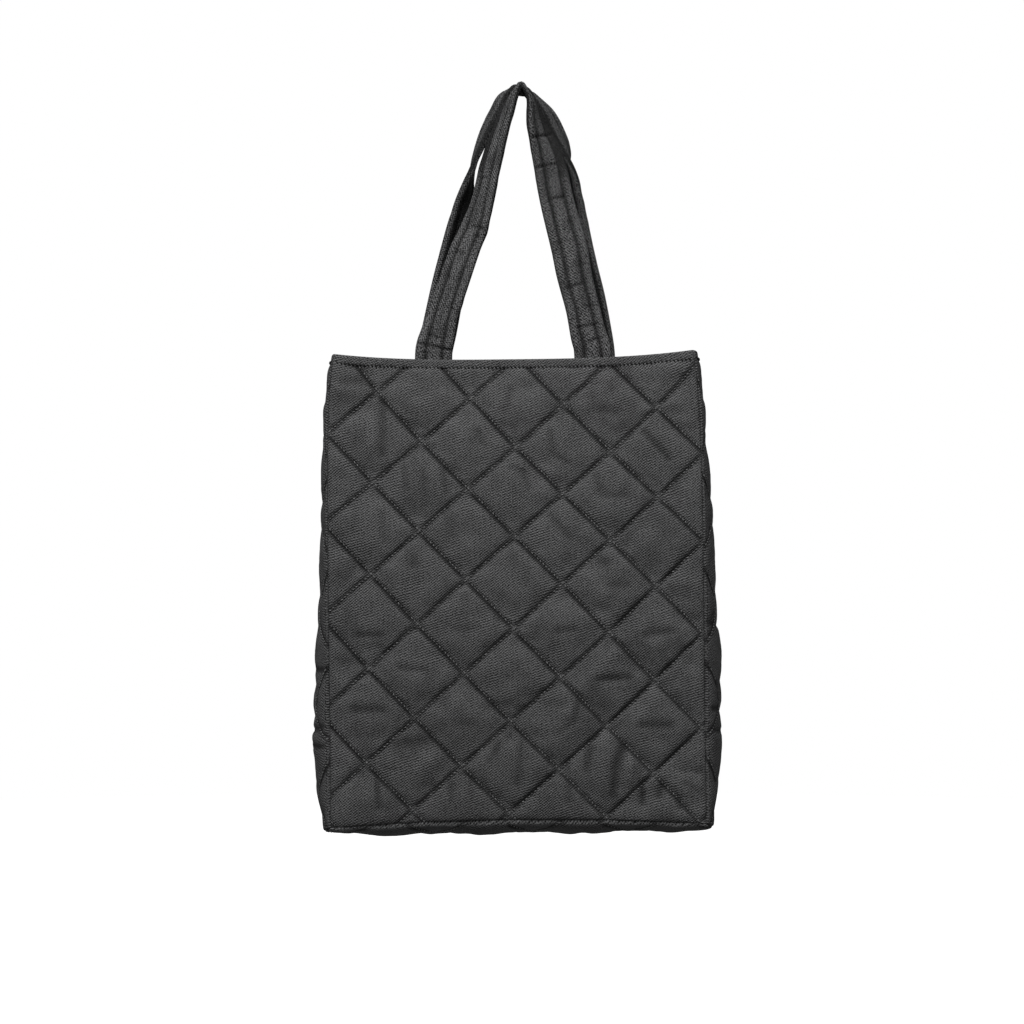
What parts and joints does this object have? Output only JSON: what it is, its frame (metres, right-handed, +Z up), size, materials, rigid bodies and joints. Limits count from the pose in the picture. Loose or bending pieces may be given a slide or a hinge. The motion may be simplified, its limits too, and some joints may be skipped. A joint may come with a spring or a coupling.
{
  "type": "quilted tote bag",
  "caption": "Soft quilted tote bag with an open mouth, side and bottom gussets and padded shoulder handles, hanging by its handles.",
  "frame": {"origin": "the point under the peak of the handles where a hook or peg carries the bag", "axes": "+Z up along the hanging bag, +X to the right of someone who faces the front panel, +Y from the front panel to the back panel"},
  "size_m": [0.3338, 0.1162, 0.6155],
  "materials": {
    "quilted_twill": "matt charcoal grey cotton twill over wadding, diamond quilted with thread of the same colour",
    "strap_twill": "matt charcoal grey cotton twill, padded, with two rows of stitches along the strap"
  },
  "bodies": {
    "root": {"front_panel": "quilted_twill", "back_panel": "quilted_twill", "left_gusset": "quilted_twill", "right_gusset": "quilted_twill", "bottom_gusset": "quilted_twill", "front_strap": "strap_twill", "back_strap": "strap_twill"}
  },
  "joints": []
}
